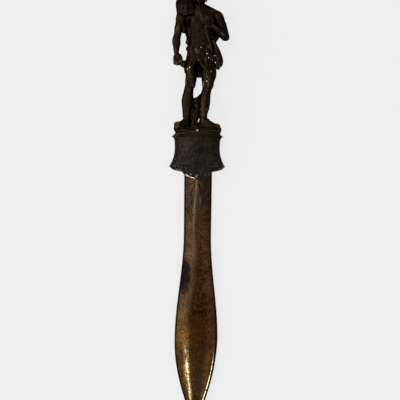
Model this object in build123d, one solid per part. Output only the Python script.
from build123d import *
import os
from math import cos, pi

# Figural letter opener, built up from bronze castings round a brass blade with a long tang.
# It lies on its back on a desk: +X is the figure's left, +Y runs from the blade to the head,
# and +Z points up out of the front. The origin is the middle of the shield's flat back.
# All sizes are in millimetres. Heights on the figure are measured from the plinth's top.

# Fits
SEAT_GAP = 0.05  # solder film between two castings
PIN_GAP = 0.03  # all round a pin in its bore
POCKET_GAP = 0.1  # round the blade's root and tang

# Blade, from the tip up
TIP_TO_BELLY = 44.0
BELLY_TO_NECK = 55.0
NECK_TO_SHIELD = 28.5
TIP_WIDTH = 1.6
BELLY_WIDTH = 22.4
NECK_WIDTH = 14.2
ROOT_WIDTH = 14.4
TIP_THICKNESS = 1.0
BELLY_THICKNESS = 3.0
ROOT_THICKNESS = 3.2
EDGE_THICKNESS = 0.7
ROOT_COVER = 6.6  # the root runs this far above the shield's point
TANG_WIDTH = 7.0
TANG_THICKNESS = 2.0
SPIGOT_RADIUS = 1.0  # the tang's round end, through the plinth and up into the stump
SPIGOT_X = -0.8
SPIGOT_IN_STUMP = 6.0

# Shield: a front and a back shell riveted to the tang
SHIELD_HEIGHT = 24.6  # point to top edge
SHIELD_BACK_DEPTH = 4.0  # from the desk to the parting plane
SHIELD_FRONT_DEPTH = 4.0  # from the parting plane to the crown
SHIELD_CROWN_RADIUS = 42.0
SCALLOP_HALF_WIDTH = 7.4  # where the lower edge turns towards the point
SCALLOP_RISE = 3.4
CORNER_HALF_WIDTH = 14.5
CORNER_RISE = 7.2
WAIST_HALF_WIDTH = 11.8
WAIST_DROP = 6.2  # below the top edge
EAR_HALF_WIDTH = 13.5
EAR_DROP = 2.0
TOP_HALF_WIDTH = 11.8
EDGE_BOW = 0.7  # how far the lower edges bow outwards
POINT_BOW = 0.35
SIDE_BOW = 1.0  # how far the sides bow inwards
RIVET_RADIUS = 0.9
RIVET_HEAD_RADIUS = 1.6
RIVET_HEAD_DEPTH = 0.9
RIVET_BITE = 2.2  # depth of the blind bore in the front shell
LOW_RIVET_OVER_ROOT = 3.0
TOP_RIVET_DROP = 6.0

# Plinth with its rolled edge, and the bead on its front
PLINTH_HEIGHT = 2.8
PLINTH_WIDTH = 24.2
PLINTH_DEPTH = 12.6
PLINTH_ROUND = 1.1
BEAD_RADIUS = 0.75
BEAD_DROP = 1.5  # below the plinth's top
BEAD_PIN_RADIUS = 0.45
BEAD_PIN_LENGTH = 4.0

# Figure: lengths up the body
ANKLE_HEIGHT = 5.4
SHIN_LENGTH = 14.5
THIGH_LENGTH = 14.1
HIP_TO_WAIST = 8.0
WAIST_TO_CHEST = 11.4
CHEST_TO_SHOULDER = 5.6
TRAPEZIUS_RISE = 3.2
SHOULDER_TO_CHIN = 7.6
HEAD_HEIGHT = 11.0
CROTCH_DROP = 4.2  # below the hips

# Figure: half widths and half depths
CROTCH = (4.6, 3.0)
HIPS = (6.6, 4.1)
WAIST = (5.9, 3.6)
RIBS = (6.7, 4.2)
CHEST = (7.5, 4.6)
SHOULDERS = (7.4, 3.7)
NECK_BASE = (3.8, 2.9)
NECK = (2.6, 2.6)
HEAD = (3.5, 4.1)
HAIR_PROUD = 0.5
HAIR_LENGTH = 10.6  # from the crown down to the nape
HIP_JOINT = (3.3, 3.7)
THIGH = (3.3, 3.5)
KNEE = (2.5, 2.6)
CALF = (2.8, 2.8)
ANKLE = (1.6, 1.8)
FOOT_LENGTH = 10.8
FOOT_HALF_WIDTH = 1.9
INSTEP_HALF_HEIGHT = 1.9
HEEL_BACK = 2.1  # heel behind the ankle's middle
SHOULDER_RADIUS = 2.95
UPPER_ARM_RADIUS = 2.45
ELBOW_RADIUS = 2.0
FOREARM_RADIUS = 2.05
WRIST_RADIUS = 1.4
HAND_RADIUS = 2.3
KNUCKLE_RADIUS = 1.4

# Figure: pose
BODY_X = 0.6
BODY_Z = 7.1
HEAD_X = 0.2
HEAD_FORWARD = 0.6
CALF_BACK = 0.7
CALF_SHARE = 0.6  # fullest part of the calf, as a share of the shin
ANKLE_BACK = 0.5
HIP_SPACING = 7.6
RIGHT_KNEE_X = -4.8
RIGHT_ANKLE_X = -6.0
LEFT_KNEE_X = 4.7
LEFT_ANKLE_X = 3.4
RIGHT_TOES = (-0.78, 0.63)  # direction of the toes in x and z
LEFT_TOES = (0.83, 0.56)
SHOULDER_SET_OUT = 1.5  # shoulder joints outside the torso
SHOULDER_DROP = 0.9
BICEPS_SWELL = 0.4
RIGHT_UPPER_ARM = (-3.2, -11.9, 0.0)
RIGHT_FOREARM = (0.1, -7.6, 1.0)
RIGHT_HAND = (0.7, -5.8, 0.3)
LEFT_UPPER_ARM = (4.3, -11.2, 0.4)
LEFT_FOREARM = (-6.9, 5.3, 5.5)
LEFT_HAND = (-3.0, 1.5, 0.5)
DOWEL_RADIUS = 0.8
DOWEL_LENGTH = 5.0
FOOT_PIN_RADIUS = 0.6
FOOT_PIN_IN_PLINTH = 2.0
FOOT_PIN_IN_LEG = 4.6

# Dress
KILT_LENGTH = 10.8
KILT_BELOW_WAIST = 2.0
KILT_PROUD = 1.0
KILT_FLARE = 0.7
KILT_SLIT_HEIGHT = 7.4
KILT_SLIT_HALF_WIDTH = 2.3
BELT_HEIGHT = 1.6
BELT_PROUD = 0.45
STRAP_WIDTH = 1.5
STRAP_PROUD = 0.6
STRAP_TOP_X = -0.8
STRAP_TOP_RISE = 2.0  # above the shoulders
STRAP_FOOT_X = 7.6
POUCH_LENGTH = 11.3
POUCH_OVER_BELT = 1.6
POUCH_SET_OUT = 2.9  # outside the hips
POUCH_HALF_WIDTH = 2.5
POUCH_HALF_DEPTH = 2.4
MANTLE_LENGTH = 32.5
MANTLE_RISE = 5.0  # above the shoulders, at the nape
MANTLE_HALF_WIDTH = 8.0
MANTLE_NAPE_HALF_WIDTH = 4.8
MANTLE_HALF_DEPTH = 3.3
ROLL_HALF_WIDTH = 3.8
ROLL_HALF_THICKNESS = 2.5
ROLL_HEM_HALF_THICKNESS = 1.3
ROLL_RISE = 6.6  # above the shoulders
ROLL_DROP = 1.0  # hem below the shoulders

# Stump between the legs
STUMP_HEIGHT = 17.2
STUMP_RADIUS = 2.9
STUMP_FOOT_SPREAD = 0.4
STUMP_SET_RIGHT = 0.4  # from midway between the ankles

# Places that follow from the sizes
BLADE_LENGTH = TIP_TO_BELLY + BELLY_TO_NECK + NECK_TO_SHIELD
POINT_Y = -SHIELD_HEIGHT / 2
TIP_Y = POINT_Y - BLADE_LENGTH
SHIELD_TOP_Y = SHIELD_HEIGHT / 2
GROUND_Y = SHIELD_TOP_Y + PLINTH_HEIGHT
PARTING_Z = SHIELD_BACK_DEPTH
RIVET_YS = (POINT_Y + ROOT_COVER + LOW_RIVET_OVER_ROOT, SHIELD_TOP_Y - TOP_RIVET_DROP)
KNEE_HEIGHT = ANKLE_HEIGHT + SHIN_LENGTH
HIP_HEIGHT = KNEE_HEIGHT + THIGH_LENGTH
WAIST_HEIGHT = HIP_HEIGHT + HIP_TO_WAIST
CHEST_HEIGHT = WAIST_HEIGHT + WAIST_TO_CHEST
SHOULDER_HEIGHT = CHEST_HEIGHT + CHEST_TO_SHOULDER
CHIN_HEIGHT = SHOULDER_HEIGHT + SHOULDER_TO_CHIN
CROWN_HEIGHT = CHIN_HEIGHT + HEAD_HEIGHT
BELT_TOP = WAIST_HEIGHT - KILT_BELOW_WAIST
KILT_HEM = BELT_TOP - KILT_LENGTH
HEAD_Z = BODY_Z + HEAD_FORWARD
ANKLE_Z = BODY_Z - ANKLE_BACK
STUMP_X = (RIGHT_ANKLE_X + LEFT_ANKLE_X) / 2 - STUMP_SET_RIGHT


def on_figure(x, height, z):
    """A point of the figure: across, above the plinth's top, and out of the desk."""
    return Vector(x, GROUND_Y + height, z)


def slices(stations, grow=0.0):
    """A solid through level ellipses, each given as (x, height, z, half width, half depth)."""
    faces = []
    for x, height, z, half_width, half_depth in stations:
        level = Plane(on_figure(x, height, z), x_dir=(1, 0, 0), z_dir=(0, -1, 0))
        faces.append(level * Ellipse(half_width + grow, half_depth + grow))
    return loft(faces)


def limb(stations, grow=0.0):
    """A solid through ellipses square to a path, each given as (point, half width, half depth)."""
    points = [station[0] for station in stations]
    faces = []
    for i, (point, half_width, half_depth) in enumerate(stations):
        along = (points[min(i + 1, len(points) - 1)] - points[max(i - 1, 0)]).normalized()
        across = Vector(1, 0, 0) if abs(along.X) < 0.6 else Vector(0, 1, 0)
        level = Plane(point, x_dir=across - along * across.dot(along), z_dir=along)
        faces.append(level * Ellipse(half_width + grow, half_depth + grow))
    return loft(faces)


def upright_pin(x, z, low, high, radius):
    """A round pin along Y between two heights on the figure."""
    length = high - low
    return Pos(x, GROUND_Y + low + length / 2, z) * Rot(90, 0, 0) * Cylinder(radius, length)


def outward_pin(x, y, low, high, radius):
    """A round pin along Z between two depths."""
    return Pos(x, y, (low + high) / 2) * Cylinder(radius, high - low)


def cut_all(shape, cutters):
    for cutter in cutters:
        shape = shape - cutter
    return shape


# Blade

def blade_half_width(from_tip):
    """Half the leaf's width: a cosine from the tip to the belly, and a smooth waist up to the root."""
    if from_tip <= TIP_TO_BELLY:
        swell = cos(pi / 2 * (1 - from_tip / TIP_TO_BELLY))
        return (TIP_WIDTH + (BELLY_WIDTH - TIP_WIDTH) * swell) / 2
    past_belly = from_tip - TIP_TO_BELLY
    if past_belly <= BELLY_TO_NECK:
        swell = (1 + cos(pi * past_belly / BELLY_TO_NECK)) / 2
        return (NECK_WIDTH + (BELLY_WIDTH - NECK_WIDTH) * swell) / 2
    share = min(1, (past_belly - BELLY_TO_NECK) / NECK_TO_SHIELD)
    return (NECK_WIDTH + (ROOT_WIDTH - NECK_WIDTH) * share) / 2


def blade_thickness(from_tip):
    """Full thickness on the middle line: a straight taper on each side of the belly."""
    if from_tip <= TIP_TO_BELLY:
        return TIP_THICKNESS + (BELLY_THICKNESS - TIP_THICKNESS) * from_tip / TIP_TO_BELLY
    share = min(1, (from_tip - TIP_TO_BELLY) / (BELLY_TO_NECK + NECK_TO_SHIELD))
    return BELLY_THICKNESS + (ROOT_THICKNESS - BELLY_THICKNESS) * share


def lens(half_width, thickness, edge):
    """A cross-section of two bowed faces that meet blunt edges."""
    top, side = thickness / 2, edge / 2
    outline = [
        ThreePointArc((-half_width, side), (0, top), (half_width, side)),
        Line((half_width, side), (half_width, -side)),
        ThreePointArc((half_width, -side), (0, -top), (-half_width, -side)),
        Line((-half_width, -side), (-half_width, side)),
    ]
    return make_face(Curve() + outline)


def blade_section(from_tip):
    level = Plane((0, TIP_Y + from_tip, PARTING_Z), x_dir=(1, 0, 0), z_dir=(0, -1, 0))
    return level * lens(blade_half_width(from_tip), blade_thickness(from_tip), EDGE_THICKNESS)


def tang_form(grow=0.0):
    """The flat tongue from the blade's root up to the plinth's foot."""
    low = POINT_Y + ROOT_COVER / 2
    size = (TANG_WIDTH + 2 * grow, SHIELD_TOP_Y - low, TANG_THICKNESS + 2 * grow)
    return Pos(0, (low + SHIELD_TOP_Y) / 2, PARTING_Z) * Box(*size)


def spigot_form(grow=0.0):
    low = -PLINTH_HEIGHT - TANG_THICKNESS
    return upright_pin(SPIGOT_X, PARTING_Z, low, SPIGOT_IN_STUMP + grow, SPIGOT_RADIUS + grow)


def root_pocket():
    """The slot between the shells that the blade's root lies in."""
    high = POINT_Y + ROOT_COVER + POCKET_GAP
    length = ROOT_COVER + SHIELD_HEIGHT / 2
    size = (ROOT_WIDTH + 2 * POCKET_GAP, length, ROOT_THICKNESS + 2 * POCKET_GAP)
    return Pos(0, high - length / 2, PARTING_Z) * Box(*size)


def rivet_form(y, grow=0.0):
    """A rivet from the back, with a countersunk head, ending blind in the front shell."""
    shank = outward_pin(0, y, 0, PARTING_Z + RIVET_BITE + grow, RIVET_RADIUS + grow)
    cone = Cone(RIVET_HEAD_RADIUS + grow, RIVET_RADIUS + grow, RIVET_HEAD_DEPTH)
    return shank + Pos(0, y, RIVET_HEAD_DEPTH / 2) * cone


def rivet_bores():
    return [rivet_form(y, PIN_GAP) for y in RIVET_YS]


def make_blade():
    tip_to_belly = [TIP_TO_BELLY * share for share in (0, 0.12, 0.3, 0.5, 0.75)]
    belly_to_neck = [TIP_TO_BELLY + BELLY_TO_NECK * share for share in (0, 0.25, 0.5, 0.75, 1)]
    stations = [*tip_to_belly, *belly_to_neck, BLADE_LENGTH, BLADE_LENGTH + ROOT_COVER]
    leaf = loft([blade_section(station) for station in stations])
    return cut_all(leaf + tang_form() + spigot_form(), rivet_bores())


# Shield

def bowed(start, end, bow):
    """An arc between two points of the outline, bowed outwards by the given amount."""
    along = (end - start).normalized()
    return ThreePointArc(start, (start + end) / 2 + Vector(along.Y, -along.X) * bow, end)


def shield_outline():
    """Half the outline from the point to the top edge, and its mirror: scalloped foot, bowed side, ear."""
    point = Vector(0, POINT_Y)
    scallop = Vector(SCALLOP_HALF_WIDTH, POINT_Y + SCALLOP_RISE)
    corner = Vector(CORNER_HALF_WIDTH, POINT_Y + CORNER_RISE)
    waist = Vector(WAIST_HALF_WIDTH, SHIELD_TOP_Y - WAIST_DROP)
    ear = Vector(EAR_HALF_WIDTH, SHIELD_TOP_Y - EAR_DROP)
    shoulder = Vector(TOP_HALF_WIDTH, SHIELD_TOP_Y)
    half = [
        bowed(point, scallop, POINT_BOW),
        bowed(scallop, corner, EDGE_BOW),
        bowed(corner, waist, -SIDE_BOW),
        Line(waist, ear),
        Line(ear, shoulder),
        Line(shoulder, (0, SHIELD_TOP_Y)),
    ]
    other_half = [mirror(edge, about=Plane.YZ) for edge in half]
    return make_face(Curve() + half + other_half)


def make_shield_front():
    """The front shell is the outline under a drum that crowns its face from side to side."""
    slab = Pos(0, 0, PARTING_Z) * extrude(shield_outline(), SHIELD_FRONT_DEPTH)
    axis_z = PARTING_Z + SHIELD_FRONT_DEPTH - SHIELD_CROWN_RADIUS
    drum = Pos(0, 0, axis_z) * Rot(90, 0, 0) * Cylinder(SHIELD_CROWN_RADIUS, 2 * SHIELD_HEIGHT)
    return cut_all(slab & drum, [root_pocket(), tang_form(POCKET_GAP), *rivet_bores()])


def make_shield_back():
    slab = extrude(shield_outline(), SHIELD_BACK_DEPTH)
    return cut_all(slab, [root_pocket(), tang_form(POCKET_GAP), *rivet_bores()])


def make_shield_rivets():
    return Compound(children=[rivet_form(y) for y in RIVET_YS])


# Plinth and its bead

def foot_pin_form(ankle_x, grow=0.0):
    low, high = -FOOT_PIN_IN_PLINTH - grow, FOOT_PIN_IN_LEG + grow
    return upright_pin(ankle_x, ANKLE_Z, low, high, FOOT_PIN_RADIUS + grow)


def foot_pin_forms(grow=0.0):
    return [foot_pin_form(ankle_x, grow) for ankle_x in (RIGHT_ANKLE_X, LEFT_ANKLE_X)]


def bead_pin_form(grow=0.0):
    y = GROUND_Y - BEAD_DROP
    return outward_pin(0, y, PLINTH_DEPTH - BEAD_PIN_LENGTH - grow, PLINTH_DEPTH, BEAD_PIN_RADIUS + grow)


def make_plinth():
    slab = Box(PLINTH_WIDTH, PLINTH_HEIGHT, PLINTH_DEPTH)
    slab = Pos(0, GROUND_Y - PLINTH_HEIGHT / 2, PLINTH_DEPTH / 2) * slab
    front_edges = slab.edges().filter_by(Axis.X).group_by(Axis.Z)[-1]
    side_edges = slab.edges().filter_by(Axis.Z)
    rolled = fillet([*front_edges, *side_edges], PLINTH_ROUND)
    return cut_all(rolled, [spigot_form(PIN_GAP), bead_pin_form(PIN_GAP), *foot_pin_forms(PIN_GAP)])


def make_bead_pin():
    """A small domed bead on a pin, set in the middle of the plinth's front."""
    half_space = Pos(0, 0, BEAD_RADIUS) * Box(2 * BEAD_RADIUS, 2 * BEAD_RADIUS, 2 * BEAD_RADIUS)
    dome = Pos(0, GROUND_Y - BEAD_DROP, PLINTH_DEPTH) * (Sphere(BEAD_RADIUS) & half_space)
    return bead_pin_form() + dome


def make_foot_pins():
    return Compound(children=foot_pin_forms())


# Figure

def torso(grow=0.0):
    ribs_height = (WAIST_HEIGHT + CHEST_HEIGHT) / 2
    neck_base_height = SHOULDER_HEIGHT + TRAPEZIUS_RISE
    levels = [(HIP_HEIGHT - CROTCH_DROP, CROTCH), (HIP_HEIGHT, HIPS), (WAIST_HEIGHT, WAIST)]
    levels += [(ribs_height, RIBS), (CHEST_HEIGHT, CHEST)]
    levels += [(SHOULDER_HEIGHT, SHOULDERS), (neck_base_height, NECK_BASE)]
    return slices([(BODY_X, height, BODY_Z, *size) for height, size in levels], grow)


def neck(grow=0.0):
    low = (HEAD_X, SHOULDER_HEIGHT, BODY_Z, *NECK)
    high = (HEAD_X, CHIN_HEIGHT + HEAD_HEIGHT / 4, HEAD_Z, *NECK)
    return slices([low, high], grow)


def egg(low, high, z, size, profile, grow):
    """An upright egg: each profile entry is (share of height, share of size, share of depth forward)."""
    stations = []
    for rise, wide, forward in profile:
        height = low + (high - low) * rise
        stations.append((HEAD_X, height, z + forward * size[1], wide * size[0], wide * size[1]))
    return slices(stations, grow)


def head(grow=0.0):
    profile = [(0, 0.46, 0.3), (0.22, 0.82, 0.12), (0.5, 0.98, 0.02)]
    profile += [(0.72, 1, 0), (0.9, 0.78, 0), (1, 0.36, 0)]
    return egg(CHIN_HEIGHT, CROWN_HEIGHT, HEAD_Z, HEAD, profile, grow)


def hair(grow=0.0):
    """A cap of hair, a little larger than the head and set back from the face."""
    size = (HEAD[0] + HAIR_PROUD, HEAD[1] + HAIR_PROUD)
    profile = [(0, 0.8, 0), (0.25, 1, 0), (0.65, 1, 0), (0.88, 0.78, 0), (1, 0.36, 0)]
    low = CROWN_HEIGHT - HAIR_LENGTH
    return egg(low, CROWN_HEIGHT + HAIR_PROUD, HEAD_Z - 2 * HAIR_PROUD, size, profile, grow)


def leg(side, knee_x, ankle_x, grow=0.0):
    hip_x = BODY_X + side * HIP_SPACING / 2
    calf_x = ankle_x + CALF_SHARE * (knee_x - ankle_x)
    stations = [
        (ankle_x, 0.0, ANKLE_Z, *ANKLE),
        (ankle_x, ANKLE_HEIGHT, ANKLE_Z, *ANKLE),
        (calf_x, ANKLE_HEIGHT + CALF_SHARE * SHIN_LENGTH, BODY_Z - CALF_BACK, *CALF),
        (knee_x, KNEE_HEIGHT, BODY_Z, *KNEE),
        ((knee_x + hip_x) / 2, KNEE_HEIGHT + THIGH_LENGTH / 2, BODY_Z, *THIGH),
        (hip_x, HIP_HEIGHT, BODY_Z, *HIP_JOINT),
    ]
    return slices(stations, grow)


def foot(ankle_x, toes, grow=0.0):
    """A foot along a level direction: (share of length, share of width, share of instep height)."""
    along = Vector(toes[0], 0, toes[1]).normalized()
    heel = on_figure(ankle_x, 0, ANKLE_Z) - along * HEEL_BACK
    profile = [(0, 0.6, 0.7), (0.3, 0.8, 1), (0.7, 1, 0.68), (0.93, 0.85, 0.58), (1, 0.55, 0.36)]
    faces = []
    for share, wide, tall in profile:
        half_height = INSTEP_HALF_HEIGHT * tall
        centre = heel + along * FOOT_LENGTH * share + Vector(0, 0.7 * half_height, 0)
        level = Plane(centre, x_dir=(0, 1, 0), z_dir=along)
        faces.append(level * Ellipse(half_height + grow, FOOT_HALF_WIDTH * wide + grow))
    below_ground = Box(2 * PLINTH_WIDTH, PLINTH_HEIGHT, 2 * PLINTH_DEPTH)
    return loft(faces) - Pos(0, GROUND_Y - PLINTH_HEIGHT / 2, BODY_Z) * below_ground


def legs_and_feet(grow=0.0):
    right = [leg(-1, RIGHT_KNEE_X, RIGHT_ANKLE_X, grow), foot(RIGHT_ANKLE_X, RIGHT_TOES, grow)]
    left = [leg(1, LEFT_KNEE_X, LEFT_ANKLE_X, grow), foot(LEFT_ANKLE_X, LEFT_TOES, grow)]
    return right + left


def body_forms(grow=0.0):
    return [torso(grow), neck(grow), head(grow), hair(grow), *legs_and_feet(grow)]


def shoulder_joint(side):
    reach = SHOULDERS[0] + SHOULDER_SET_OUT
    return on_figure(BODY_X + side * reach, SHOULDER_HEIGHT - SHOULDER_DROP, BODY_Z)


def arm_form(side, upper_arm, forearm, hand, grow=0.0):
    """Two round limbs, shoulder to elbow and elbow to knuckles, each rounded off past its joint."""
    shoulder = shoulder_joint(side)
    elbow = shoulder + Vector(*upper_arm)
    wrist = elbow + Vector(*forearm)
    knuckles = wrist + Vector(*hand)
    down = Vector(*upper_arm).normalized()
    out = Vector(*forearm).normalized()
    biceps = (shoulder + elbow) / 2 + Vector(side * BICEPS_SWELL, 0, 0)
    upper = [
        (shoulder - down * SHOULDER_RADIUS, SHOULDER_RADIUS * 0.3),
        (shoulder - down * SHOULDER_RADIUS * 0.7, SHOULDER_RADIUS * 0.75),
        (shoulder, SHOULDER_RADIUS),
        (biceps, UPPER_ARM_RADIUS),
        (elbow, ELBOW_RADIUS),
        (elbow + down * ELBOW_RADIUS * 0.9, ELBOW_RADIUS * 0.45),
    ]
    lower = [
        (elbow - out * ELBOW_RADIUS * 0.7, ELBOW_RADIUS * 0.6),
        (elbow, ELBOW_RADIUS * 0.95),
        (elbow + Vector(*forearm) * 0.4, FOREARM_RADIUS),
        (wrist, WRIST_RADIUS),
        ((wrist + knuckles) / 2, HAND_RADIUS),
        (knuckles, KNUCKLE_RADIUS),
    ]
    upper_limb, lower_limb = (limb([(p, r, r) for p, r in path], grow) for path in (upper, lower))
    return upper_limb + lower_limb


def right_arm_form(grow=0.0):
    return arm_form(-1, RIGHT_UPPER_ARM, RIGHT_FOREARM, RIGHT_HAND, grow)


def left_arm_form(grow=0.0):
    return arm_form(1, LEFT_UPPER_ARM, LEFT_FOREARM, LEFT_HAND, grow)


def arm_dowel_form(side, grow=0.0):
    """A dowel across the shoulder joint, part in the torso and part in the arm."""
    centre = shoulder_joint(side) - Vector(side * SHOULDER_RADIUS / 2, 0, 0)
    return Pos(*centre) * Rot(0, 90, 0) * Cylinder(DOWEL_RADIUS + grow, DOWEL_LENGTH + 2 * grow)


def arm_dowel_forms(grow=0.0):
    return [arm_dowel_form(side, grow) for side in (-1, 1)]


def make_arm_dowels():
    return Compound(children=arm_dowel_forms())


def make_figure_body():
    first, *others = body_forms()
    for form in others:
        first = first + form
    return cut_all(first, [*arm_dowel_forms(PIN_GAP), *foot_pin_forms(PIN_GAP)])


def make_right_arm():
    return cut_all(right_arm_form(), [torso(SEAT_GAP), arm_dowel_form(-1, PIN_GAP)])


def make_left_arm():
    return cut_all(left_arm_form(), [torso(SEAT_GAP), arm_dowel_form(1, PIN_GAP)])


def make_tree_stump():
    stations = [
        (STUMP_X, 0.0, PARTING_Z, STUMP_RADIUS + STUMP_FOOT_SPREAD, STUMP_RADIUS + STUMP_FOOT_SPREAD),
        (STUMP_X, STUMP_HEIGHT / 2, PARTING_Z, STUMP_RADIUS, STUMP_RADIUS),
        (STUMP_X, STUMP_HEIGHT, PARTING_Z, STUMP_RADIUS * 0.9, STUMP_RADIUS * 0.9),
    ]
    return cut_all(slices(stations), [*legs_and_feet(SEAT_GAP), spigot_form(PIN_GAP)])


# Dress

def kilt_form(grow=0.0):
    hem_proud = KILT_PROUD + KILT_FLARE
    levels = [(KILT_HEM, HIPS, hem_proud), (HIP_HEIGHT, HIPS, KILT_PROUD), (BELT_TOP, WAIST, KILT_PROUD)]
    stations = [(BODY_X, h, BODY_Z, size[0] + proud, size[1] + proud) for h, size, proud in levels]
    return slices(stations, grow)


def belt_form(grow=0.0):
    half_width, half_depth = (size + KILT_PROUD + BELT_PROUD for size in WAIST)
    levels = [BELT_TOP - BELT_HEIGHT, BELT_TOP]
    return slices([(BODY_X, height, BODY_Z, half_width, half_depth) for height in levels], grow)


def kilt_slit():
    """The opening at the front, wide at the hem and closing upwards."""
    front_z = BODY_Z + HIPS[1]
    profile = [(-0.15, 1.0), (0.6, 0.65), (1.0, 0.15)]
    stations = []
    for rise, wide in profile:
        half_width = KILT_SLIT_HALF_WIDTH * wide
        stations.append((BODY_X, KILT_HEM + KILT_SLIT_HEIGHT * rise, front_z, half_width, HIPS[1]))
    return slices(stations)


def make_kilt():
    return cut_all(kilt_form() + belt_form(), [torso(SEAT_GAP), *legs_and_feet(SEAT_GAP), kilt_slit()])


def make_shoulder_strap():
    """A slanted slab of the torso's skin, from the neck to the belt."""
    top = on_figure(STRAP_TOP_X, SHOULDER_HEIGHT + STRAP_TOP_RISE, BODY_Z)
    foot_end = on_figure(STRAP_FOOT_X, BELT_TOP - BELT_HEIGHT, BODY_Z)
    run = top - foot_end
    lean = Vector(0, 1, 0).get_signed_angle(run, Vector(0, 0, 1))
    depth = 2 * CHEST[1]
    slab = Box(STRAP_WIDTH, run.length, depth, align=(Align.CENTER, Align.CENTER, Align.MIN))
    slab = Pos(*((top + foot_end) / 2)) * Rot(0, 0, lean) * slab
    band = torso(STRAP_PROUD + SEAT_GAP) & slab
    cutters = [torso(SEAT_GAP), neck(SEAT_GAP), kilt_form(SEAT_GAP), belt_form(SEAT_GAP)]
    return cut_all(band, [*cutters, left_arm_form(SEAT_GAP), roll_form(SEAT_GAP)])


def pouch_form(grow=0.0):
    """A drop-shaped bag: (share of height, share of size, share of set-out drawn in)."""
    top = BELT_TOP + POUCH_OVER_BELT
    out = BODY_X + HIPS[0] + POUCH_SET_OUT
    profile = [(0, 0.48, 0.1), (0.2, 1, 0), (0.62, 0.84, 0.1), (1, 0.42, 0.5)]
    stations = []
    for rise, wide, drawn_in in profile:
        height = top - POUCH_LENGTH * (1 - rise)
        x = out - drawn_in * POUCH_SET_OUT
        stations.append((x, height, BODY_Z, POUCH_HALF_WIDTH * wide, POUCH_HALF_DEPTH * wide))
    return slices(stations, grow)


def make_hip_pouch():
    left_leg = leg(1, LEFT_KNEE_X, LEFT_ANKLE_X, SEAT_GAP)
    return cut_all(pouch_form(), [torso(SEAT_GAP), kilt_form(SEAT_GAP), belt_form(SEAT_GAP), left_leg])


def cloak_form():
    """The hide that hangs down the back, flat enough behind to lie on a desk."""
    wide, deep = MANTLE_HALF_WIDTH, MANTLE_HALF_DEPTH
    stations = [
        (BODY_X, SHOULDER_HEIGHT - MANTLE_LENGTH, deep, wide * 0.94, deep),
        (BODY_X, WAIST_HEIGHT, deep, wide, deep),
        (BODY_X, CHEST_HEIGHT, deep, wide * 1.04, deep),
        (BODY_X, SHOULDER_HEIGHT, deep, wide, deep),
        (BODY_X, SHOULDER_HEIGHT + MANTLE_RISE, deep * 1.3, MANTLE_NAPE_HALF_WIDTH, deep),
    ]
    return slices(stations)


def roll_form(grow=0.0):
    """The thick fold of hide over the right shoulder, from the back over the top to the chest."""
    thick, hem, wide = ROLL_HALF_THICKNESS, ROLL_HEM_HALF_THICKNESS, ROLL_HALF_WIDTH
    x = shoulder_joint(-1).X
    top = SHOULDER_HEIGHT + ROLL_RISE
    foot_end = SHOULDER_HEIGHT - ROLL_DROP
    front_z = BODY_Z + CHEST[1]
    bend = 0.65 * top + 0.35 * foot_end
    path = [
        (on_figure(x, foot_end, thick), wide, hem),
        (on_figure(x, bend, thick * 1.4), wide, thick),
        (on_figure(x, top, BODY_Z), wide, thick),
        (on_figure(x, bend, front_z - hem), wide, thick * 0.9),
        (on_figure(x, foot_end, front_z - hem / 2), wide, hem),
    ]
    return limb(path, grow)


def make_hide_mantle():
    arms = [right_arm_form(SEAT_GAP), left_arm_form(SEAT_GAP)]
    dress = [kilt_form(SEAT_GAP), belt_form(SEAT_GAP), pouch_form(SEAT_GAP)]
    return cut_all(cloak_form() + roll_form(), [*body_forms(SEAT_GAP), *arms, *dress])


PIECES = {
    "blade": make_blade,
    "shield_front": make_shield_front,
    "shield_back": make_shield_back,
    "shield_rivets": make_shield_rivets,
    "plinth": make_plinth,
    "bead_pin": make_bead_pin,
    "foot_pins": make_foot_pins,
    "tree_stump": make_tree_stump,
    "figure_body": make_figure_body,
    "right_arm": make_right_arm,
    "left_arm": make_left_arm,
    "arm_dowels": make_arm_dowels,
    "kilt": make_kilt,
    "shoulder_strap": make_shoulder_strap,
    "hip_pouch": make_hip_pouch,
    "hide_mantle": make_hide_mantle,
}

os.makedirs("parts", exist_ok=True)
for name, make in PIECES.items():
    export_step(make(), f"parts/{name}.step")
